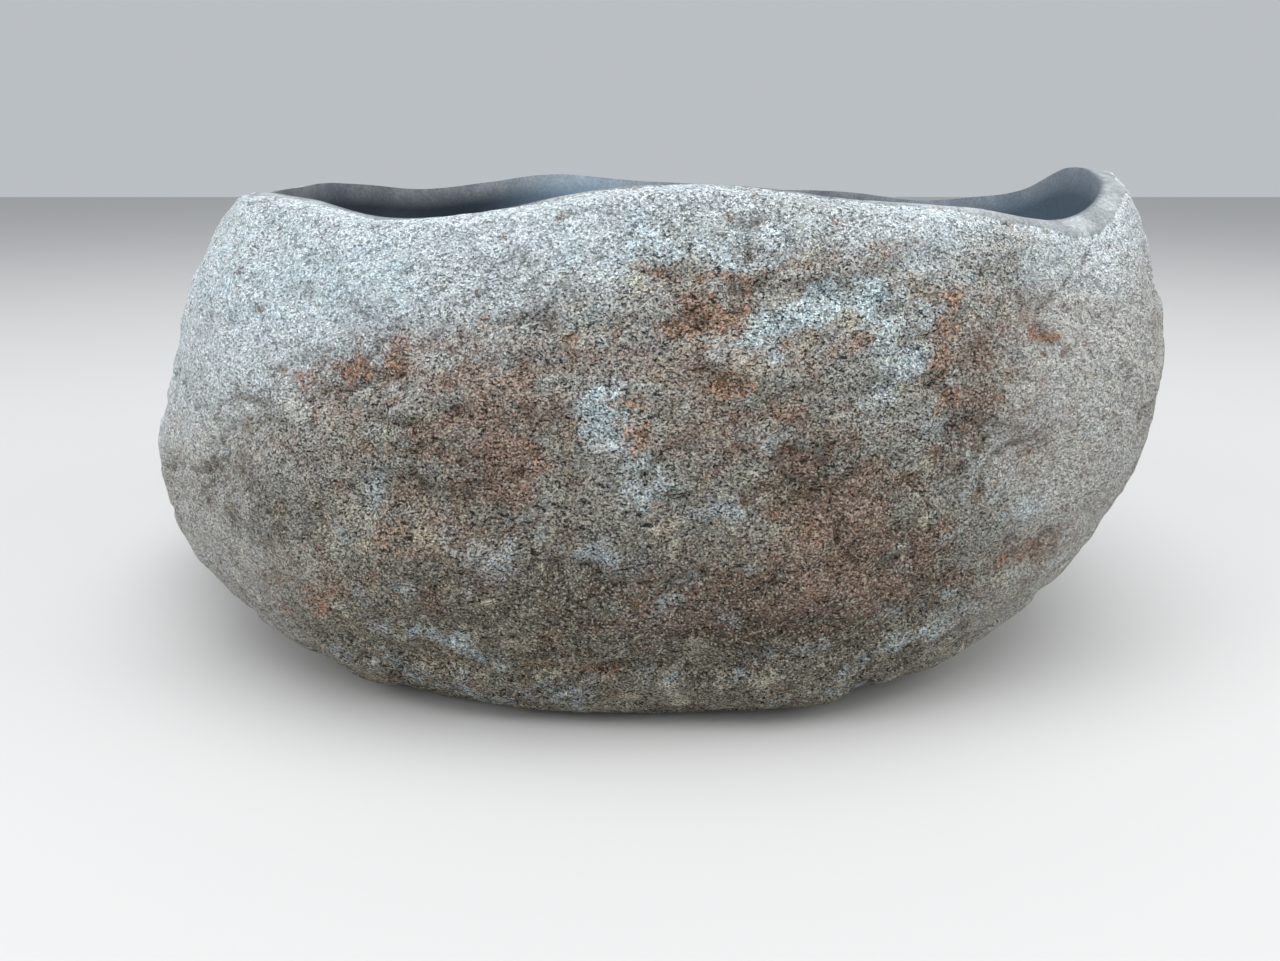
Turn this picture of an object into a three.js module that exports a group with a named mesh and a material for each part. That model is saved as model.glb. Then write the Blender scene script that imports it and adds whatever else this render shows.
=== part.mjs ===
// A molcajete: a mortar hollowed out of one river boulder, with a thin, wavy, ground rim.
// It is a single piece of stone, so the group holds a single mesh.
// Millimetres. +X runs along the stone's length, +Y to its back, +Z up.
// The origin is on the ground, under the middle of the stone's box.

import * as THREE from 'three';

// Each oval is a rounded plan outline at one level: how far it reaches from the stone's axis.
const footOval = { right: 64, left: 100, front: 95, back: 52, square: 2.5 };
const bellyOval = { right: 158, left: 165, front: 122, back: 104, square: 2.3 };
const rimOval = { right: 145, left: 131, front: 104, back: 92, square: 2.4 };
const floorOval = { right: 70, left: 66, front: 50, back: 40, square: 2.1 };

// Levels above the ground.
const bellyHeight = { right: 92, left: 58, front: 72, back: 72 };
const floorHeight = 34;
const floorDish = 6;

// The wall: how wide the ground rim is, how far its outer edge drops, how much more at the notch
// in the rim (in degrees around the stone), and how far the hollow swells out below the rim.
const rimWidth = { right: 7.5, left: 9.5, front: 8, back: 9.5 };
const rimDrop = 1.5;
const notch = { at: 317, halfWidth: 20, drop: 3.5 };
const hollowSwell = 10;

// How full the curves are between two levels: 1 is an ellipse, less is squarer.
const undersideFullness = { right: 0.95, left: 1, front: 0.7, back: 0.85 };
const hollowFullness = 0.8;

// How many flat facets: around the stone, and along each stretch of its section.
const columns = 104;
const undersideRows = 10;
const sideRows = 8;
const rimRows = 2;
const hollowRows = 10;
const floorRows = 3;

// The wavy top of the rim, at equal steps around the stone. The first is at the right end, then
// come the back, the left end and the front.
const rimHeights = [
  145.5, 138, 134.5, 132.5, 135.5, 136.5,
  139.5, 142, 139, 137, 139, 140,
  139, 138.5, 139, 138, 134, 136,
  142.5, 138.5, 136, 132.5, 138, 142,
];

// The stone's own lumps and hollows: [degrees around, height, half width in degrees,
// half height, how far it stands out]. 0 degrees is the right end, 90 the back, 180 the left end
// and 270 the front.
const lumps = [
  [172, 54, 21, 24, 12],
  [199, 62, 8, 30, -6],
  [213, 84, 10, 60, 4],
  [204, 92, 20, 20, -4],
  [322, 84, 12, 50, 5],
  [300, 100, 14, 26, -3],
  [262, 46, 24, 24, 3],
  [20, 48, 20, 26, 3],
  [78, 62, 26, 30, 4],
  [128, 92, 16, 26, -4],
  [345, 36, 18, 20, -3],
];

const turn = (degrees) => (degrees * Math.PI) / 180;

// How near an angle is to another, 1 at it and falling off smoothly, round the full turn.
function nearness(angle, degrees, halfWidth) {
  const away = Math.atan2(Math.sin(angle - turn(degrees)), Math.cos(angle - turn(degrees)));
  return Math.exp(-((away / turn(halfWidth)) ** 2));
}

// A number that differs at the four sides, blended round the stone.
function around(side, angle) {
  const x = Math.cos(angle);
  const y = Math.sin(angle);
  return (x > 0 ? side.right : side.left) * x * x + (y > 0 ? side.back : side.front) * y * y;
}

function ovalPoint(oval, angle) {
  const x = Math.cos(angle);
  const y = Math.sin(angle);
  const power = 2 / oval.square;
  return new THREE.Vector2(
    (x > 0 ? oval.right : oval.left) * Math.sign(x) * Math.abs(x) ** power,
    (y > 0 ? oval.back : oval.front) * Math.sign(y) * Math.abs(y) ** power,
  );
}

// The way straight out from the wall, seen from above.
function outward(angle) {
  const across = Math.cos(angle) / (bellyOval.right + bellyOval.left);
  const deep = Math.sin(angle) / (bellyOval.front + bellyOval.back);
  return new THREE.Vector2(across, deep).normalize();
}

// The height of the rim, on a smooth closed curve through rimHeights.
function rimTop(angle) {
  const count = rimHeights.length;
  const place = (angle / (2 * Math.PI)) * count;
  const first = Math.floor(place);
  const along = place - first;
  const [before, from, to, after] = [-1, 0, 1, 2].map((k) => rimHeights[(first + k + count) % count]);
  const startSlope = (to - before) / 2;
  const endSlope = (after - from) / 2;
  const square = 3 * (to - from) - 2 * startSlope - endSlope;
  const cube = 2 * (from - to) + startSlope + endSlope;
  return from + startSlope * along + square * along ** 2 + cube * along ** 3;
}

function outerDrop(angle) {
  return rimDrop + notch.drop * nearness(angle, notch.at, notch.halfWidth);
}

function lumpiness(angle, height) {
  let out = 0;
  for (const [degrees, level, halfWidth, halfHeight, rise] of lumps) {
    const share = Math.exp(-(((height - level) / halfHeight) ** 2));
    out += rise * share * nearness(angle, degrees, halfWidth);
  }
  return out * Math.min(1, height / bellyHeight.left);
}

function lumpyPoint(plan, angle, height) {
  const moved = plan.addScaledVector(outward(angle), lumpiness(angle, height));
  return new THREE.Vector3(moved.x, moved.y, height);
}

// The underside, from the edge of the foot (share 0) up to the belly (share 1).
function undersidePoint(angle, share) {
  const swing = (share * Math.PI) / 2;
  const power = around(undersideFullness, angle);
  const plan = ovalPoint(footOval, angle).lerp(ovalPoint(bellyOval, angle), Math.sin(swing) ** power);
  const height = around(bellyHeight, angle) * (1 - Math.cos(swing) ** power);
  return lumpyPoint(plan, angle, height);
}

// The side, from the belly (share 0) up to the outer edge of the rim (share 1).
function sidePoint(angle, share) {
  const plan = ovalPoint(bellyOval, angle).lerp(ovalPoint(rimOval, angle), share ** 2);
  const bottom = around(bellyHeight, angle);
  const top = rimTop(angle) - outerDrop(angle);
  return lumpyPoint(plan, angle, bottom + (top - bottom) * share);
}

// The ground top of the wall, from its outer edge (share 0) to its inner edge (share 1).
function rimPoint(angle, share) {
  const edge = sidePoint(angle, 1);
  const inward = outward(angle).multiplyScalar(-around(rimWidth, angle) * share);
  const height = edge.z + outerDrop(angle) * Math.sin((share * Math.PI) / 2);
  return new THREE.Vector3(edge.x + inward.x, edge.y + inward.y, height);
}

// The hollow, from the inner edge of the rim (share 0) down to the edge of the floor (share 1).
function hollowPoint(angle, share) {
  const swing = (share * Math.PI) / 2;
  const edge = rimPoint(angle, 1);
  const plan = new THREE.Vector2(edge.x, edge.y);
  plan.lerp(ovalPoint(floorOval, angle), 1 - Math.cos(swing) ** hollowFullness);
  plan.addScaledVector(outward(angle), hollowSwell * Math.sin(share * Math.PI) ** 2);
  const height = edge.z + (floorHeight - edge.z) * Math.sin(swing) ** hollowFullness;
  return new THREE.Vector3(plan.x, plan.y, height);
}

// The floor of the hollow, from its edge (share 0) to its middle (share 1), a little dished.
function floorPoint(angle, share) {
  const plan = ovalPoint(floorOval, angle).multiplyScalar(1 - share);
  const dip = floorDish * Math.sin((share * Math.PI) / 2) ** 2;
  return new THREE.Vector3(plan.x, plan.y, floorHeight - dip);
}

// Every ring of the stone's skin, from the edge of the foot, over the rim, to the hollow's floor.
function skinRings() {
  const stretches = [
    [undersidePoint, undersideRows],
    [sidePoint, sideRows],
    [rimPoint, rimRows],
    [hollowPoint, hollowRows],
    [floorPoint, floorRows],
  ];
  const rings = [];
  for (const [pointAt, rows] of stretches) {
    for (let row = 0; row < rows; row += 1) {
      const ring = [];
      for (let column = 0; column < columns; column += 1) {
        ring.push(pointAt((column / columns) * 2 * Math.PI, row / rows));
      }
      rings.push(ring);
    }
  }
  return rings;
}

// A closed mesh: the flat foot, the rings joined one to the next, and the middle of the floor.
function stoneGeometry() {
  const rings = skinRings();
  const points = [...rings.flat(), new THREE.Vector3(0, 0, 0), floorPoint(0, 1)];
  const footMiddle = points.length - 2;
  const floorMiddle = points.length - 1;
  const faces = [];
  for (let column = 0; column < columns; column += 1) {
    const next = (column + 1) % columns;
    faces.push(footMiddle, next, column);
    for (let row = 0; row + 1 < rings.length; row += 1) {
      const low = row * columns;
      const high = low + columns;
      faces.push(low + column, low + next, high + next);
      faces.push(low + column, high + next, high + column);
    }
    const last = (rings.length - 1) * columns;
    faces.push(last + column, last + next, floorMiddle);
  }
  const geometry = new THREE.BufferGeometry().setFromPoints(points);
  geometry.setIndex(faces);
  geometry.computeBoundingBox();
  const middle = geometry.boundingBox.getCenter(new THREE.Vector3());
  geometry.translate(-middle.x, -middle.y, 0);
  geometry.computeVertexNormals();
  return geometry;
}

const stone = new THREE.MeshStandardMaterial({ color: 0x9a9c98, roughness: 0.92, metalness: 0 });

const bowl = new THREE.Mesh(stoneGeometry(), stone);
bowl.name = 'stone_bowl';

const molcajete = new THREE.Group();
molcajete.add(bowl);

export default molcajete;
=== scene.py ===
import math

import bpy
import numpy as np
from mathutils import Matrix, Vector, noise


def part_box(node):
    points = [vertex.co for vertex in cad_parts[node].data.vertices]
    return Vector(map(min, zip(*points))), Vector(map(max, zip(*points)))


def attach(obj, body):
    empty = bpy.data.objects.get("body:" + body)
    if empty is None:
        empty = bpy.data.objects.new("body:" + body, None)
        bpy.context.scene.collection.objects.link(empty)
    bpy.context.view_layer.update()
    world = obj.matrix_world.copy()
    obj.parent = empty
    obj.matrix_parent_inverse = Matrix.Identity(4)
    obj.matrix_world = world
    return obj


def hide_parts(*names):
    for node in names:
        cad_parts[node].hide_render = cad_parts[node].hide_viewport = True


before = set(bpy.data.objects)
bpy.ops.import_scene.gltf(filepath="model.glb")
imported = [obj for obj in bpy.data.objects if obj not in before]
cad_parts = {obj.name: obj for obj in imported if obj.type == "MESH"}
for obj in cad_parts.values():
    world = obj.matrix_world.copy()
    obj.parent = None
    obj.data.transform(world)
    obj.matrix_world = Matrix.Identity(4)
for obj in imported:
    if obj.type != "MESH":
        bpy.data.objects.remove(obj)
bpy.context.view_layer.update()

MM = 0.001  # the shape below is worked out in millimetres

# Plan outlines of the stone: how far each reaches from the stone's axis.
FOOT = dict(right=64, left=100, front=95, back=52, square=2.5)
BELLY = dict(right=158, left=165, front=122, back=104, square=2.3)
RIM = dict(right=145, left=131, front=104, back=92, square=2.4)
FLOOR = dict(right=70, left=66, front=50, back=40, square=2.1)

BELLY_HEIGHT = dict(right=92, left=58, front=72, back=72)
FLOOR_HEIGHT = 34
FLOOR_DISH = 6
RIM_WIDTH = dict(right=7.5, left=9.5, front=8, back=9.5)
RIM_DROP = 1.5
NOTCH_AT, NOTCH_HALF_WIDTH, NOTCH_DROP = 317, 20, 3.5
HOLLOW_SWELL = 10
UNDERSIDE_FULLNESS = dict(right=0.95, left=1, front=0.7, back=0.85)
HOLLOW_FULLNESS = 0.8

# The wavy top of the rim, at equal steps around the stone from its right end.
RIM_HEIGHTS = [
    145.5, 138, 134.5, 132.5, 135.5, 136.5,
    139.5, 142, 139, 137, 139, 140,
    139, 138.5, 139, 138, 134, 136,
    142.5, 138.5, 136, 132.5, 138, 142,
]

# Lumps and hollows: degrees around, height, half width in degrees, half height, rise.
LUMPS = [
    (172, 54, 21, 24, 12),
    (199, 62, 8, 30, -6),
    (213, 84, 10, 60, 4),
    (204, 92, 20, 20, -4),
    (322, 84, 12, 50, 5),
    (300, 100, 14, 26, -3),
    (262, 46, 24, 24, 3),
    (20, 48, 20, 26, 3),
    (78, 62, 26, 30, 4),
    (128, 92, 16, 26, -4),
    (345, 36, 18, 20, -3),
]

# Rows of faces along each stretch of the stone's section, and columns around it.
COLUMNS = 590
FOOT_ROWS, UNDERSIDE_ROWS, SIDE_ROWS, RIM_ROWS, HOLLOW_ROWS, FLOOR_ROWS = 5, 58, 48, 9, 38, 9

# Where each stain is on the front and ends, in millimetres from the origin: x, z, half length,
# half height, tilt in degrees, strength.
RUST = [
    (19, 113, 11, 5, 15, 1.2),
    (27, 97, 13, 2.4, -22, 0.9),
    (12, 123, 10, 1.6, -6, 0.9),
    (-35, 111, 6, 3, 10, 0.6),
    (-55, 103, 5, 4, 35, 0.7),
    (-67, 99, 6, 4, 0, 0.9),
    (-83, 96, 4, 3, 0, 0.7),
    (38, 107, 5, 2.5, -20, 0.8),
    (52, 107, 6, 2.5, 20, 0.7),
    (42, 125, 9, 2.4, 10, 0.6),
    (62, 127, 8, 3, 20, 0.5),
    (77, 103, 3.5, 12, -10, 0.8),
    (104, 106, 5, 3, 0, 0.8),
    (103, 50, 11, 1.8, 25, 0.7),
    (-79, 38, 12, 4, 15, 0.9),
    (-10, 21, 12, 2.2, -5, 0.7),
    (-57, 58, 6, 7, 0, 0.5),
    (4, 88, 5, 5, 30, 0.8),
    (2, 94, 4, 3, 0, 0.7),
    (-20, 83, 10, 5, -30, 0.5),
    (40, 64, 8, 5, -20, 0.4),
]
WARM = [
    (-31, 90, 19, 25, 0, 1.0),
    (16, 102, 42, 8, -4, 0.65),
    (-50, 100, 22, 11, -15, 0.8),
    (20, 88, 34, 12, -10, 0.7),
    (50, 60, 28, 26, -30, 0.85),
    (30, 46, 48, 14, 8, 0.4),
    (-83, 40, 24, 8, 12, 0.7),
    (92, 104, 16, 22, -25, 0.6),
    (-76, 92, 22, 12, 10, 0.6),
    (106, 50, 20, 8, 22, 0.6),
    (-52, 60, 26, 16, 0, 0.5),
    (104, 76, 14, 10, 0, 0.4),
]
DARK = [
    (52, 68, 30, 14, -32, 1.0),
    (35, 40, 44, 14, 8, 1.25),
    (62, 42, 16, 8, 10, 0.8),
    (-33, 80, 22, 18, 0, 0.6),
    (-98, 62, 24, 12, 0, 0.4),
    (-10, 44, 44, 12, 0, 0.5),
    (84, 90, 9, 20, -25, 0.5),
    (48, 120, 16, 2.2, -4, 0.7),
]
PALE = [
    (42, 113, 19, 7, 10, 1.1),
    (-5, 91, 8, 8, 0, 0.9),
    (64, 104, 9, 14, 0, 0.7),
    (2, 77, 11, 7, 0, 0.6),
    (-30, 114, 12, 9, 0, 0.6),
    (72, 29, 13, 5, 12, 0.55),
    (96, 60, 12, 6, 20, 0.5),
    (-75, 120, 44, 12, 0, 0.7),
    (2, 128, 26, 7, 0, 0.6),
    (104, 122, 16, 6, 0, 0.6),
    (-50, 28, 14, 4, -18, 0.6),
    (-18, 56, 22, 6, 0, 0.4),
    (40, 28, 20, 3, 4, 0.4),
]

# Broken places on the front: x, z, half length, half height, tilt in degrees, depth.
CHIPS = [
    (12, 122, 12, 2.0, -6, 1.5),
    (19, 113, 14, 5, 16, 1.2),
    (38, 119, 15, 2.0, 10, 1.4),
    (27, 97, 13, 2.6, -22, 1.1),
    (40, 106, 8, 3, -20, 1.0),
    (2, 92, 10, 4, 0, 1.0),
    (77, 102, 4, 13, -10, 1.1),
    (103, 50, 14, 2.0, 25, 1.4),
    (62, 38, 20, 5, 15, 0.8),
    (-43, 70, 20, 6, -15, 0.9),
    (-58, 22, 14, 5, 5, 1.2),
    (22, 24, 32, 4, 3, 1.1),
    (112, 70, 7, 10, 20, 0.9),
    (-18, 52, 28, 5, 8, 0.8),
    (-90, 84, 12, 5, -30, 0.8),
    (92, 118, 16, 3, -24, 1.1),
]

# Going back along y, the listed marks are gone at FRONT_UNTIL, after fading over FRONT_FADE.
# The natural stains begin at BACK_FROM and are complete BACK_FADE further on. A mark's ragged
# outline lies about MARK_EDGE times its half size out.
FRONT_UNTIL, FRONT_FADE = 30, 40
BACK_FROM, BACK_FADE, BACK_STRENGTH = -5, 45, 0.7
MARK_EDGE = 1.35

# Every kind of stain: its marks, and the mottling on the back: size, seed and where it starts.
STAINS = [
    ("rust", RUST, 9, 21, 0.30),
    ("warm", WARM, 40, 22, 0.05),
    ("dark", DARK, 46, 23, 0.10),
    ("pale", PALE, 38, 24, 0.10),
]

# Relief by noise: how high, how wide its largest lumps are, octaves of detail, seed.
BROAD_LUMPS = (2.0, 48, 3, 1)
SMALL_LUMPS = (0.9, 17, 3, 2)
GRAINS = (0.45, 5.2, 3, 3)
GROUND_WAVES = (0.7, 38, 2, 7)
GROUND_RIPPLES = (0.08, 7, 2, 8)
LEDGE_DEPTH, CREASE_DEPTH, PIT_DEPTH, PIT_SPACING = 1.2, 1.7, 1.0, 8.5
LAYERS = (1, 1, 1.7)  # noise squeezed in height looks like flat layers in the rock
MARK_LAYERS = (1, 1, 1.6)
SEED_STEP = 17.3  # how far apart the noises of two seeds lie

# How much calmer the relief is at the worn ends and by the rim, and the height above the ground
# at which it is full.
CALM_AT_ENDS, CALM_BY_RIM = 0.45, 0.55
FULL_RELIEF_HEIGHT = 5.0

# The worn ends begin and are complete at these distances along the stone from its origin. The
# stone is worn by the rim too, from just below its outer edge.
WORN_FROM, WORN_FULL = 58, 124
BY_RIM_FROM, BY_RIM_FULL, RIM_WEAR = -0.16, -0.01, 0.6

# The smooth ground band starts this far across the rim's top, more along the front, and its
# border is this ragged and this soft.
BAND_START, BAND_START_FRONT = 0.12, 0.62
BAND_RAGGED, BAND_SOFT = 0.25, 0.15
BAND_NOTCH_AT, BAND_NOTCH_HALF_WIDTH = 323, 24

# Bluer, paler stone above a slanting line: where it begins and is complete in height, and how
# much the line rises per millimetre to the right.
COOL_LEFT = (82, 158, 0.36)
COOL_RIGHT = (105, 150, -0.10)
COOL_RIGHT_STRENGTH = 0.85

# The painted sheen inside the hollow: a painted reflection on the back wall, and paler slate on the
# right end's wall.
SHEEN_AT, SHEEN_HALF_WIDTH, SHEEN_STRENGTH = 99, 13, 0.75
SHEEN_BOTTOM, SHEEN_TOP = 95, 125
PALE_END_FROM, PALE_END_FULL, PALE_END_STRENGTH = 85, 125, 0.3

# Linear colours of the weathered outside.
# Olive below and light grey above: partly the stone's own colour, partly painted shade that darkens
# it towards the bottom.
OLIVE = (0.150, 0.136, 0.104, 1)
LIGHT_GREY = (0.300, 0.300, 0.280, 1)
WORN_GREY = (0.500, 0.500, 0.475, 1)
DIMPLE_BROWN = (0.250, 0.200, 0.150, 1)
COOL_BLUE = (0.600, 0.668, 0.705, 1)
CREAM = (0.560, 0.530, 0.430, 1)

# Its mottling, from palms to fingertips: the noise's scale, detail and roughness, where it begins
# and is complete, how strong it gets, and its colour.
MOTTLING = [
    (26, 7, 0.70, 0.50, 0.70, 0.60, (0.185, 0.168, 0.130, 1)),
    (33, 7, 0.70, 0.52, 0.72, 0.45, (0.450, 0.430, 0.345, 1)),
    (84, 5, 0.65, 0.51, 0.65, 0.55, (0.390, 0.465, 0.500, 1)),
    (97, 5, 0.65, 0.51, 0.63, 0.60, (0.200, 0.142, 0.098, 1)),
    (131, 5, 0.65, 0.53, 0.66, 0.50, (0.500, 0.465, 0.350, 1)),
    (163, 5, 0.65, 0.54, 0.66, 0.55, (0.150, 0.145, 0.145, 1)),
]

# Colours of the stains, and of the dirt and painted shade in the recesses.
DARK_BROWN = (0.068, 0.052, 0.034, 1)
WARM_BROWN = (0.240, 0.156, 0.118, 1)
PALE_BLUE = (0.470, 0.580, 0.625, 1)
DEEP_RUST = (0.145, 0.080, 0.050, 1)
BRIGHT_RUST = (0.420, 0.238, 0.150, 1)
# Dirt and painted shade in the recesses of the relief.
DIRT_AND_SHADE = (0.115, 0.082, 0.054, 1)
FLECK = (0.170, 0.085, 0.042, 1)

# Colours of the ground rim and the hollow.
RIM_GREY = (0.270, 0.290, 0.300, 1)
RIM_PALE = (0.430, 0.450, 0.455, 1)
RIM_PIT = (0.150, 0.130, 0.110, 1)
SLATE = (0.032, 0.045, 0.066, 1)
SLATE_CLOUD = (0.054, 0.073, 0.101, 1)
# A painted reflection on the hollow's back wall, also used for paler slate on its right end's wall.
PAINTED_SHEEN_AND_PALE_BLUE = (0.275, 0.395, 0.510, 1)

# Noise scales, per metre.
GRAIN_SCALE = 2100  # grains of about half a millimetre
PORE_SCALE = 1500
PIT_SCALE = 560
PORE_STRETCH = (0.75, 0.75, 1.3)

# Roughness of the weathered outside, the ground rim, and the hollow from its glossiest up.
ROUGH_OUTSIDE, ROUGH_RIM = 0.92, 0.62
ROUGH_HOLLOW = (0.42, 0.60)

# The camera: an ordinary phone's main lens, in metres, tilted down by some degrees.
CAMERA_LENS, SENSOR_WIDTH = 27, 36
CAMERA_PLACE = (0.0029, -0.3295, 0.1475)
CAMERA_DOWN = 18.4

SKY_COLOUR, SKY_STRENGTH = (0.90, 0.95, 1.0, 1), 0.55
STUDIO_FLOOR_SIZE = 8
STUDIO_FLOOR_COLOUR, STUDIO_FLOOR_ROUGHNESS = (0.62, 0.61, 0.60, 1), 0.8

# Soft lights: name, place and aim in metres, size, power in watts, colour.
LIGHTS = [
    ("sky_panel", (0, -0.35, 1.5), (0, 0, 0.1), 1.6, 22, (0.96, 0.98, 1.0)),
    ("left_panel", (-1.2, -0.6, 0.9), (0, 0, 0.08), 0.9, 6, (1.0, 1.0, 1.0)),
    ("right_panel", (1.3, -0.3, 0.8), (0, 0, 0.08), 0.9, 6, (1.0, 1.0, 0.98)),
]


def nearness(angle, degrees, half_width):
    """How near an angle is to another, 1 at it and falling off smoothly, round the full turn."""
    away = angle - math.radians(degrees)
    away = np.arctan2(np.sin(away), np.cos(away))
    return np.exp(-((away / math.radians(half_width)) ** 2))


def around(side, angle):
    """A number that differs at the four sides, blended round the stone."""
    x, y = np.cos(angle), np.sin(angle)
    ends = np.where(x > 0, side["right"], side["left"])
    faces = np.where(y > 0, side["back"], side["front"])
    return ends * x ** 2 + faces * y ** 2


def oval_point(oval, angle):
    x, y = np.cos(angle), np.sin(angle)
    power = 2 / oval["square"]
    across = np.where(x > 0, oval["right"], oval["left"]) * np.sign(x) * np.abs(x) ** power
    deep = np.where(y > 0, oval["back"], oval["front"]) * np.sign(y) * np.abs(y) ** power
    return np.stack([across, deep], -1)


def outward(angle):
    """The way straight out from the wall, seen from above."""
    across = np.cos(angle) / (BELLY["right"] + BELLY["left"])
    deep = np.sin(angle) / (BELLY["front"] + BELLY["back"])
    way = np.stack([across, deep], -1)
    return way / np.linalg.norm(way, axis=-1, keepdims=True)


def rim_top(angle):
    """The height of the rim, on a smooth closed curve through RIM_HEIGHTS."""
    heights = np.array(RIM_HEIGHTS, float)
    place = angle / (2 * math.pi) * len(heights)
    first = np.floor(place).astype(int)
    along = place - first
    before, start, end, after = (heights[(first + k) % len(heights)] for k in (-1, 0, 1, 2))
    start_slope, end_slope = (end - before) / 2, (after - start) / 2
    square = 3 * (end - start) - 2 * start_slope - end_slope
    cube = 2 * (start - end) + start_slope + end_slope
    return start + start_slope * along + square * along ** 2 + cube * along ** 3


def outer_drop(angle):
    return RIM_DROP + NOTCH_DROP * nearness(angle, NOTCH_AT, NOTCH_HALF_WIDTH)


def lumpy(plan, angle, height):
    out = 0
    for degrees, level, half_width, half_height, rise in LUMPS:
        share = np.exp(-(((height - level) / half_height) ** 2))
        out = out + rise * share * nearness(angle, degrees, half_width)
    out = out * np.minimum(1, height / BELLY_HEIGHT["left"])
    moved = plan + outward(angle) * out[..., None]
    return np.concatenate([moved, height[..., None]], -1)


def foot_point(angle, share):
    plan = oval_point(FOOT, angle) * share[..., None]
    return np.concatenate([plan, np.zeros_like(plan[..., :1])], -1)


def underside_point(angle, share):
    swing = share * math.pi / 2
    power = around(UNDERSIDE_FULLNESS, angle)
    reach = (np.sin(swing) ** power)[..., None]
    plan = oval_point(FOOT, angle) * (1 - reach) + oval_point(BELLY, angle) * reach
    height = around(BELLY_HEIGHT, angle) * (1 - np.cos(swing) ** power)
    return lumpy(plan, angle, height)


def side_point(angle, share):
    lean = (share ** 2)[..., None]
    plan = oval_point(BELLY, angle) * (1 - lean) + oval_point(RIM, angle) * lean
    bottom = around(BELLY_HEIGHT, angle)
    top = rim_top(angle) - outer_drop(angle)
    return lumpy(plan, angle, bottom + (top - bottom) * share)


def rim_point(angle, share):
    edge = side_point(angle, np.ones_like(share))
    inward = -outward(angle) * (around(RIM_WIDTH, angle) * share)[..., None]
    height = edge[..., 2] + outer_drop(angle) * np.sin(share * math.pi / 2)
    return np.concatenate([edge[..., :2] + inward, height[..., None]], -1)


def hollow_point(angle, share):
    swing = share * math.pi / 2
    edge = rim_point(angle, np.ones_like(share))
    fall = (1 - np.abs(np.cos(swing)) ** HOLLOW_FULLNESS)[..., None]
    plan = edge[..., :2] * (1 - fall) + oval_point(FLOOR, angle) * fall
    plan = plan + outward(angle) * (HOLLOW_SWELL * np.sin(share * math.pi) ** 2)[..., None]
    height = edge[..., 2] + (FLOOR_HEIGHT - edge[..., 2]) * np.sin(swing) ** HOLLOW_FULLNESS
    return np.concatenate([plan, height[..., None]], -1)


def floor_point(angle, share):
    plan = oval_point(FLOOR, angle) * (1 - share)[..., None]
    height = FLOOR_HEIGHT - FLOOR_DISH * np.sin(share * math.pi / 2) ** 2
    return np.concatenate([plan, height[..., None]], -1)


def skin_grid():
    """Points of the whole skin, ring by ring from the middle of the foot to the middle of the
    floor. With them come how far across the rim's top each ring is, which climbs from -1 at the
    belly to 0 at the rim's outer edge and 1 at its inner edge, and whether it is in the hollow."""
    angle = np.arange(COLUMNS) / COLUMNS * 2 * math.pi
    stretches = [
        (foot_point, FOOT_ROWS, (-1, -1), 0),
        (underside_point, UNDERSIDE_ROWS, (-1, -1), 0),
        (side_point, SIDE_ROWS, (-1, 0), 0),
        (rim_point, RIM_ROWS, (0, 1), 0),
        (hollow_point, HOLLOW_ROWS, (1, 1), 1),
        (floor_point, FLOOR_ROWS, (1, 1), 1),
    ]
    rings, across_rim, hollow = [], [], []
    for point_at, rows, (across_low, across_high), is_hollow in stretches:
        first = 1 if point_at is foot_point else 0
        for row in range(first, rows):
            rings.append(point_at(angle, np.full(COLUMNS, row / rows)))
            across_rim.append(across_low + (across_high - across_low) * row / rows)
            hollow.append(is_hollow)
    return angle, np.array(rings), np.array(across_rim), np.array(hollow, float)


def fractal(points, size, octaves, seed):
    """Fractal noise of about -1 to 1 whose largest lumps are about size millimetres."""
    places = points / size + seed * SEED_STEP
    return np.array([noise.fractal(p, 1.0, 2.0, octaves) for p in places])


def cells(points, size, seed):
    """Distance to the nearest of some scattered points, in cells."""
    places = points / size + seed * SEED_STEP
    return np.array([noise.voronoi(p)[0][0] for p in places])


def spots(points, marks, ragged):
    """How strongly some listed marks show at each point. They wrap round the front and ends."""
    total = np.zeros(len(points))
    front = np.clip((FRONT_UNTIL - points[:, 1]) / FRONT_FADE, 0, 1)
    for x, z, half_length, half_height, tilt, strength in marks:
        c, s = math.cos(math.radians(tilt)), math.sin(math.radians(tilt))
        dx, dz = points[:, 0] - x, points[:, 2] - z
        along = (dx * c + dz * s) / half_length
        across = (dz * c - dx * s) / half_height
        far = np.sqrt(along ** 2 + across ** 2) + ragged
        total = np.maximum(total, strength * np.clip(MARK_EDGE - far, 0, 1) * front)
    return total


def smooth_step(low, high, value):
    t = np.clip((value - low) / (high - low), 0, 1)
    return t * t * (3 - 2 * t)


def relief(points, layer):
    height, size, octaves, seed = layer
    return height * fractal(points, size, octaves, seed)


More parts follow.
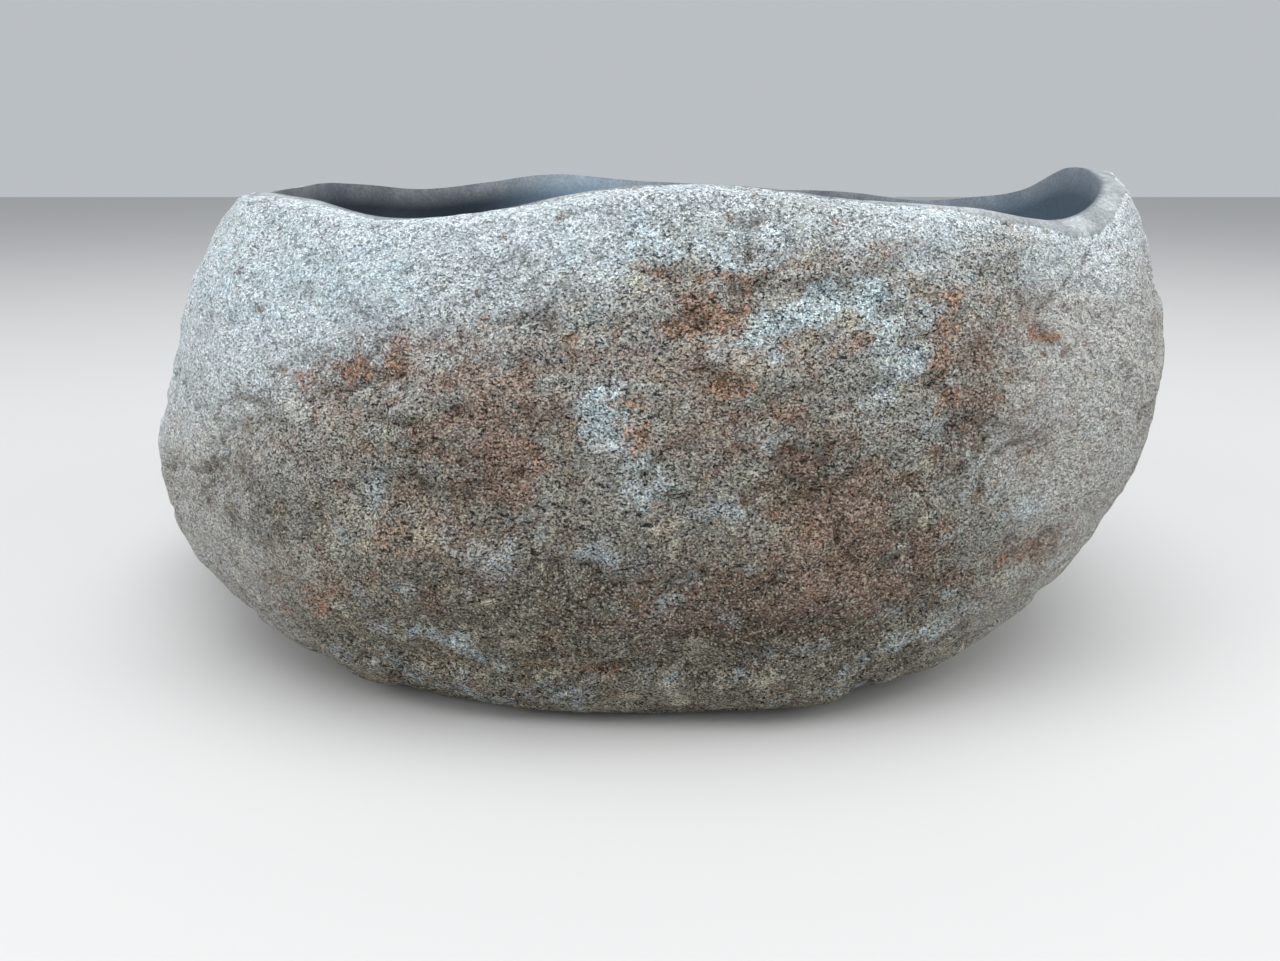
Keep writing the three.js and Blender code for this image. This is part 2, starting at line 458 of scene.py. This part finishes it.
def roughen(points, normals, worked, edge, worn):
    """Moves the smooth skin out and in: weathered lumps, ledges, creases and chips outside, and a
    hand-ground feel on the rim and in the hollow. The outside is calmer by the rim and at the ends.
    Each smooth_step of a noise picks the places where that feature is. Also gives how sunken each
    point is, for darkening the recesses that is partly dirt and partly painted shade."""
    layered = points * LAYERS
    lumps = relief(points, BROAD_LUMPS) + relief(points, SMALL_LUMPS)
    ledges = -LEDGE_DEPTH * smooth_step(0.14, 0.26, fractal(layered, 19, 4, 4))
    creases = smooth_step(0.06, 0.0, np.abs(fractal(layered, 50, 4, 12)))
    creases *= -CREASE_DEPTH * smooth_step(-0.10, 0.15, fractal(points, 36, 2, 13))
    pits = -PIT_DEPTH * smooth_step(0.34, 0.08, cells(points, PIT_SPACING, 5))
    chips = -spots(points, CHIPS, 0.35 * fractal(points, 7, 2, 6))
    broken = relief(points, GRAINS) + ledges + creases + pits + chips
    outside = (lumps + broken * (1 - CALM_AT_ENDS * worn)) * (1 - CALM_BY_RIM * edge)
    ground = relief(points, GROUND_WAVES) + relief(points, GROUND_RIPPLES)
    move = (1 - worked) * outside + worked * ground
    move *= smooth_step(0.0, FULL_RELIEF_HEIGHT, points[:, 2])
    moved = points + normals * move[:, None]
    moved[:, 2] = np.maximum(moved[:, 2], 0)
    # How sunken each point is: it sets where the recesses get dirt and painted shade.
    hidden = -(0.4 * ledges + creases + 0.6 * pits + 0.5 * chips)
    return moved, smooth_step(0.35, 1.7, hidden) * (1 - worked)


def paint(mesh, name, values):
    layer = mesh.attributes.new(name, "FLOAT", "POINT")
    layer.data.foreach_set("value", values.astype(np.float32))


def blur_rings(values, rows):
    """Softens a value from ring to ring."""
    padded = np.pad(values, rows, mode="edge")
    kernel = np.ones(2 * rows + 1) / (2 * rows + 1)
    return np.convolve(padded, kernel, "valid")


def ground_share(points, angle, across):
    """How far each point is in the smooth ground band on the rim. The band takes in the rim's
    whole width at the right end and the notch, and least of it along the front."""
    front = np.clip(-np.sin(angle), 0, 1)
    notch = nearness(angle, BAND_NOTCH_AT, BAND_NOTCH_HALF_WIDTH)
    start = BAND_START + BAND_START_FRONT * front * (1 - notch)
    start = start + BAND_RAGGED * fractal(points, 14, 3, 9)
    return smooth_step(start - BAND_SOFT, start + BAND_SOFT, across)


def stains(points, marks, ragged, size, seed, low):
    """The listed marks on the front and ends, and natural mottling on the back."""
    back = np.clip((points[:, 1] - BACK_FROM) / BACK_FADE, 0, 1)
    natural = smooth_step(low, low + 0.35, fractal(points, size, 3, seed))
    return np.maximum(spots(points, marks, ragged), BACK_STRENGTH * back * natural)


def above_slant(points, low, high, slope):
    """Climbs from 0 to 1 above a line that slants along the stone."""
    return smooth_step(low, high, points[:, 2] - slope * points[:, 0])


# A painted reflection on the hollow's back wall, and paler slate on its right end's wall.
def hollow_painted_sheen_and_pale_end(points, angle):
    heights = smooth_step(SHEEN_BOTTOM, SHEEN_TOP, points[:, 2])
    back_wall = SHEEN_STRENGTH * nearness(angle, SHEEN_AT, SHEEN_HALF_WIDTH) * heights
    end_wall = PALE_END_STRENGTH * smooth_step(PALE_END_FROM, PALE_END_FULL, points[:, 0])
    return np.maximum(back_wall, end_wall)


def stone_faces(ring_count):
    """Fans at the middles of the foot and of the hollow's floor, and quads between the rings."""
    foot_middle = ring_count * COLUMNS
    floor_middle = foot_middle + 1
    last = (ring_count - 1) * COLUMNS
    faces = []
    for column in range(COLUMNS):
        after = (column + 1) % COLUMNS
        faces.append((foot_middle, after, column))
        faces.append((last + column, last + after, floor_middle))
    for start in range(0, last, COLUMNS):
        for column in range(COLUMNS):
            after = (column + 1) % COLUMNS
            lower, upper = start + column, start + COLUMNS + column
            faces.append((lower, start + after, start + COLUMNS + after, upper))
    return faces


def build_stone():
    """One closed mesh of the whole stone, in the place of the CAD node."""
    angle, rings, across_rim, hollow = skin_grid()
    count = len(rings)
    points = rings.reshape(-1, 3)
    points = np.vstack([points, [0, 0, 0], [0, 0, FLOOR_HEIGHT - FLOOR_DISH]])
    low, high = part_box("stone_bowl")
    middle = (points.min(0) + points.max(0)) / 2
    wanted = np.array((low + high) / 2) / MM
    points[:, :2] += (wanted - middle)[:2]

    mesh = bpy.data.meshes.new("stone_bowl_skin")
    mesh.from_pydata((points * MM).tolist(), [], stone_faces(count))
    mesh.update()

    normals = np.zeros(len(points) * 3)
    mesh.vertices.foreach_get("normal", normals)
    angle_at = np.append(np.tile(angle, count), [0, 0])
    across_at = np.append(np.repeat(across_rim, COLUMNS), [0, 1])
    hollow_at = np.append(np.repeat(blur_rings(hollow, 1), COLUMNS), [0, 1])
    ground_at = ground_share(points, angle_at, across_at)
    worked = np.maximum(ground_at, hollow_at)
    edge = smooth_step(BY_RIM_FROM, BY_RIM_FULL, across_at)
    worn = smooth_step(WORN_FROM, WORN_FULL, np.abs(points[:, 0]))
    moved, sunken = roughen(points, normals.reshape(-1, 3), worked, edge, worn)
    mesh.vertices.foreach_set("co", (moved * MM).astype(np.float32).ravel())

    cool_left = above_slant(points, *COOL_LEFT)
    cool_right = COOL_RIGHT_STRENGTH * above_slant(points, *COOL_RIGHT)
    paint(mesh, "ground", ground_at)
    paint(mesh, "hollow", hollow_at)
    # A painted reflection on the hollow's back wall, and paler slate at its right end.
    paint(mesh, "painted_sheen_and_pale_end", hollow_at * hollow_painted_sheen_and_pale_end(points, angle_at))
    paint(mesh, "worn", np.maximum(worn, RIM_WEAR * edge * (1 - hollow_at)))
    paint(mesh, "cool", np.maximum(cool_left, cool_right))
    # Where the recesses are darkened: partly dirt, partly painted shade.
    paint(mesh, "sunken", sunken)
    ragged = fractal(points * MARK_LAYERS, 9, 4, 10)
    for name, marks, size, seed, start in STAINS:
        paint(mesh, name, stains(points, marks, ragged, size, seed, start))
    mesh.polygons.foreach_set("use_smooth", np.ones(len(mesh.polygons), bool))
    mesh.update()
    stone = bpy.data.objects.new("stone_bowl_skin", mesh)
    bpy.context.scene.collection.objects.link(stone)
    return stone


class Nodes:
    """A small helper that adds shader nodes and joins them."""

    def __init__(self, material):
        material.use_nodes = True
        self.tree = material.node_tree
        self.shader = self.tree.nodes["Principled BSDF"]
        self.place = self.tree.nodes.new("ShaderNodeTexCoord").outputs["Object"]

    def put(self, socket, value):
        if isinstance(value, bpy.types.NodeSocket):
            self.tree.links.new(value, socket)
        else:
            socket.default_value = value

    def noise(self, scale, detail=4.0, rough=0.6, stretch=(1, 1, 1)):
        node = self.tree.nodes.new("ShaderNodeTexNoise")
        node.inputs["Scale"].default_value = scale
        node.inputs["Detail"].default_value = detail
        node.inputs["Roughness"].default_value = rough
        mapping = self.tree.nodes.new("ShaderNodeMapping")
        mapping.inputs["Scale"].default_value = stretch
        self.put(mapping.inputs["Vector"], self.place)
        self.put(node.inputs["Vector"], mapping.outputs["Vector"])
        return node.outputs["Fac"]

    def cell_numbers(self, scale):
        """Two random numbers of 0 to 1 for each cell, taken from its random colour."""
        node = self.tree.nodes.new("ShaderNodeTexVoronoi")
        node.inputs["Scale"].default_value = scale
        self.put(node.inputs["Vector"], self.place)
        parts = self.tree.nodes.new("ShaderNodeSeparateColor")
        self.put(parts.inputs[0], node.outputs["Color"])
        return parts.outputs[:2]

    def height(self):
        parts = self.tree.nodes.new("ShaderNodeSeparateXYZ")
        self.put(parts.inputs[0], self.place)
        return parts.outputs["Z"]

    def attribute(self, name):
        node = self.tree.nodes.new("ShaderNodeAttribute")
        node.attribute_name = name
        return node.outputs["Fac"]

    def math(self, operation, a, b=0.0):
        node = self.tree.nodes.new("ShaderNodeMath")
        node.operation = operation
        self.put(node.inputs[0], a)
        self.put(node.inputs[1], b)
        return node.outputs[0]

    def swing(self, value, reach):
        """A noise of 0 to 1, moved to swing about 0 and scaled."""
        return self.math("MULTIPLY", self.math("SUBTRACT", value, 0.5), reach)

    def fit(self, value, low, high, to_low=0.0, to_high=1.0):
        """Climbs smoothly from to_low to to_high while the value goes from low to high."""
        node = self.tree.nodes.new("ShaderNodeMapRange")
        node.interpolation_type = "SMOOTHSTEP"
        self.put(node.inputs["Value"], value)
        self.put(node.inputs["From Min"], low)
        self.put(node.inputs["From Max"], high)
        self.put(node.inputs["To Min"], to_low)
        self.put(node.inputs["To Max"], to_high)
        return node.outputs["Result"]

    def mix(self, share, a, b, blend="MIX"):
        node = self.tree.nodes.new("ShaderNodeMix")
        node.data_type = "RGBA"
        node.blend_type = blend
        self.put(node.inputs["Factor"], share)
        self.put(node.inputs["A"], a)
        self.put(node.inputs["B"], b)
        return node.outputs["Result"]

    def bump(self, height, strength, distance, under=None):
        node = self.tree.nodes.new("ShaderNodeBump")
        node.inputs["Strength"].default_value = strength
        node.inputs["Distance"].default_value = distance
        self.put(node.inputs["Height"], height)
        if under is not None:
            self.put(node.inputs["Normal"], under)
        return node.outputs["Normal"]


def grey(value):
    return (value, value, value, 1)


def mottled_base(n, height, cool, worn):
    """The weathered outside without grain or stain: olive below and grey above, partly the stone's
    own colour and partly painted shade, mottled at several sizes, paler at the worn ends and bluer
    at the cool top."""
    # Partly painted shade: olive and darker towards the bottom, light grey towards the top.
    level = n.fit(n.math("ADD", height, n.swing(n.noise(14, 5), 0.06)), 0.022, 0.128)
    base = n.mix(level, OLIVE, LIGHT_GREY)
    for scale, detail, rough, low, high, most, colour in MOTTLING:
        share = n.fit(n.noise(scale, detail, rough), low, high, 0, most)
        base = n.mix(share, base, colour)
    base = n.mix(n.fit(worn, 0.10, 1.05, 0, 0.68), base, WORN_GREY)
    dimples = n.fit(n.noise(150, 5, 0.7), 0.55, 0.64, 0, 0.65)
    base = n.mix(n.math("MULTIPLY", dimples, n.fit(worn, 0.1, 0.6)), base, DIMPLE_BROWN)
    return n.mix(n.fit(cool, 0.25, 1.00, 0, 0.88), base, COOL_BLUE)


def stained(n, base, tint):
    """Lays the stains over a base, broken up at two sizes and partly kept off by each grain's tint,
    then dirt and painted shade in the hollows of the relief, and small rusty flecks."""
    torn = n.noise(420, 5, 0.8)
    blotch = n.noise(85, 6, 0.75)
    broken = n.math("ADD", n.swing(blotch, 2.0), n.swing(torn, 1.7))
    ochre = n.mix(n.fit(torn, 0.42, 0.62), DEEP_RUST, BRIGHT_RUST)

    # Each stain: its attribute and colour, where it begins and is complete, how strong it gets,
    # and what share of it stays on the most tinted grains.
    layers = [
        ("dark", DARK_BROWN, 0.00, 0.75, 0.88, 0.50),
        ("warm", WARM_BROWN, 0.08, 0.95, 0.80, 0.50),
        ("pale", PALE_BLUE, 0.20, 1.00, 0.85, 0.70),
        ("rust", ochre, 0.15, 0.90, 0.95, 0.65),
    ]
    for name, colour, low, high, most, on_grains in layers:
        mark = n.attribute(name)
        share = n.fit(n.math("ADD", mark, broken), low, high, 0, most)
        share = n.math("MULTIPLY", share, n.fit(mark, 0.02, 0.25))
        share = n.math("MULTIPLY", share, n.fit(tint, 0.3, 0.9, 1.0, on_grains))
        base = n.mix(share, base, colour)
    # Dirt and painted shade: darker and browner in the recesses of the relief.
    dirt_and_shade = n.math("MULTIPLY", n.attribute("sunken"), n.fit(torn, 0.30, 0.60, 0.25, 0.65))
    base = n.mix(dirt_and_shade, base, DIRT_AND_SHADE)
    flecks = n.fit(n.noise(210, 5, 0.7), 0.58, 0.68)
    flecks = n.math("MULTIPLY", flecks, n.fit(blotch, 0.44, 0.58, 0.15, 0.85))
    return n.mix(flecks, base, FLECK)


def speckled(n, base, shade, tint, fine, hole, calm):
    """Lays the grains' own shades and the pores between them over a base, less where it's calm."""
    light = n.fit(shade, 0.0, 1.0, 0.54, 1.62)
    light = n.math("MULTIPLY", light, n.fit(fine, 0.30, 0.70, 0.56, 1.50))
    speckle = n.mix(calm, light, grey(1.0))
    darkness = n.math("MULTIPLY", hole, n.math("SUBTRACT", 0.92, calm))
    speckle = n.mix(1.0, speckle, n.math("SUBTRACT", 1.0, darkness), "MULTIPLY")
    weathered = n.mix(1.0, base, speckle, "MULTIPLY")
    cream = n.math("MULTIPLY", n.fit(tint, 0.86, 0.92), n.fit(calm, 0.1, 0.3, 0.60, 0.25))
    return n.mix(cream, weathered, CREAM)


def ground_rim(n, pit):
    """The hand-ground rim: cloudy grey with a faint grain and a few old pits."""
    rim = n.mix(n.fit(n.noise(90, 6, 0.7), 0.40, 0.62), RIM_GREY, RIM_PALE)
    faint = n.fit(n.noise(1100, 4, 0.7), 0.34, 0.66, 0.72, 1.22)
    rim = n.mix(1.0, rim, faint, "MULTIPLY")
    return n.mix(n.math("MULTIPLY", pit, 0.45), rim, RIM_PIT)


def slate_hollow(n, height):
    """The smooth hollow: slate, with painted shade that darkens it towards the rim, a painted
    reflection on its back wall and paler slate on its right end's wall.
    """
    slate = n.mix(n.fit(n.noise(28, 5, 0.55), 0.35, 0.68), SLATE, SLATE_CLOUD)
    # Painted shade: the slate darkens towards the rim.
    slate = n.mix(1.0, slate, n.fit(height, 0.100, 0.136, 1.0, 0.50), "MULTIPLY")
    # The painted reflection on the back wall, and paler slate on the right end's wall.
    slate = n.mix(n.attribute("painted_sheen_and_pale_end"), slate, PAINTED_SHEEN_AND_PALE_BLUE)
    faint = n.fit(n.noise(1100, 3, 0.6), 0.3, 0.7, 0.90, 1.10)
    return n.mix(1.0, slate, faint, "MULTIPLY")


def relief_normal(n, shade, fine, hole):
    """Relief too fine for the mesh, which fades out where the stone is ground smooth."""
    smooth = n.math("MAXIMUM", n.attribute("ground"), n.attribute("hollow"))
    wild = n.math("SUBTRACT", 1.0, n.math("MULTIPLY", smooth, 0.95))
    broad = n.math("SUBTRACT", n.noise(64, 7, 0.7, (1, 1, 1.4)), 0.5)
    broad = n.bump(n.math("MULTIPLY", broad, wild), 0.55, 0.006)
    height = n.math("SUBTRACT", n.math("MULTIPLY", shade, 0.5), n.math("MULTIPLY", hole, 1.2))
    height = n.math("ADD", height, n.math("MULTIPLY", fine, 0.5))
    height = n.math("ADD", height, n.math("MULTIPLY", n.noise(260, 5, 0.7), 2.0))
    height = n.math("MULTIPLY", n.math("SUBTRACT", height, 1.3), wild)
    return n.bump(height, 0.8, 0.0006, broad)


def stone_material():
    """River stone: weathered outside, hand-ground on the rim, smooth slate in the hollow."""
    material = bpy.data.materials.new("river_stone")
    n = Nodes(material)
    height = n.height()
    drift = n.swing(n.noise(30, 6, 0.65), 1.1)
    cool = n.math("ADD", n.attribute("cool"), drift)
    worn = n.math("ADD", n.attribute("worn"), drift)
    calm = n.math("MAXIMUM", n.fit(cool, 0.3, 1.0), n.fit(worn, 0.1, 0.9))
    calm = n.math("MULTIPLY", calm, 0.42)

    shade, tint = n.cell_numbers(GRAIN_SCALE)
    fine = n.noise(2300, 2, 0.6)
    pore = n.fit(n.noise(PORE_SCALE, 3, 0.65, PORE_STRETCH), 0.555, 0.61)
    pit = n.fit(n.noise(PIT_SCALE, 4, 0.7, PORE_STRETCH), 0.60, 0.645)
    hole = n.math("MAXIMUM", pore, pit)

    base = stained(n, mottled_base(n, height, cool, worn), tint)
    weathered = speckled(n, base, shade, tint, fine, hole, calm)
    border = n.swing(n.noise(240, 4, 0.7), 1.1)
    ground = n.fit(n.math("ADD", n.attribute("ground"), border), 0.35, 0.65)
    skin = n.mix(ground, weathered, ground_rim(n, pit))
    skin = n.mix(n.attribute("hollow"), skin, slate_hollow(n, height))
    n.put(n.shader.inputs["Base Color"], skin)

    worked = n.math("MAXIMUM", ground, n.attribute("hollow"))
    rough = n.mix(worked, grey(ROUGH_OUTSIDE), grey(ROUGH_RIM))
    polish = n.fit(n.noise(40, 4), 0.3, 0.7, *ROUGH_HOLLOW)
    rough = n.mix(n.attribute("hollow"), rough, polish)
    n.put(n.shader.inputs["Roughness"], rough)
    n.shader.inputs["Specular IOR Level"].default_value = 0.35
    n.put(n.shader.inputs["Normal"], relief_normal(n, shade, fine, hole))
    return material


def make_camera():
    data = bpy.data.cameras.new("camera")
    data.lens = CAMERA_LENS
    data.sensor_width = SENSOR_WIDTH
    camera = bpy.data.objects.new("camera", data)
    camera.location = CAMERA_PLACE
    camera.rotation_euler = (math.radians(90 - CAMERA_DOWN), 0, 0)
    bpy.context.scene.collection.objects.link(camera)
    bpy.context.scene.camera = camera


def area_light(name, place, aim, size, power, colour):
    data = bpy.data.lights.new(name, "AREA")
    data.shape = "DISK"
    data.size = size
    data.energy = power
    data.color = colour
    light = bpy.data.objects.new(name, data)
    light.location = place
    light.rotation_euler = (Vector(aim) - Vector(place)).to_track_quat("-Z", "Y").to_euler()
    bpy.context.scene.collection.objects.link(light)


def make_light():
    world = bpy.data.worlds.new("soft_studio")
    world.use_nodes = True
    background = world.node_tree.nodes["Background"]
    background.inputs["Color"].default_value = SKY_COLOUR
    background.inputs["Strength"].default_value = SKY_STRENGTH
    bpy.context.scene.world = world
    for light in LIGHTS:
        area_light(*light)
    bpy.context.scene.view_settings.view_transform = "Standard"


def make_floor():
    bpy.ops.mesh.primitive_plane_add(size=STUDIO_FLOOR_SIZE)
    floor = bpy.context.object
    floor.name = "floor"
    material = bpy.data.materials.new("floor_paint")
    material.use_nodes = True
    shader = material.node_tree.nodes["Principled BSDF"]
    shader.inputs["Base Color"].default_value = STUDIO_FLOOR_COLOUR
    shader.inputs["Roughness"].default_value = STUDIO_FLOOR_ROUGHNESS
    floor.data.materials.append(material)


make_camera()
make_light()
make_floor()
bowl = build_stone()
bowl.data.materials.append(stone_material())
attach(bowl, "root")
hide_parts("stone_bowl")
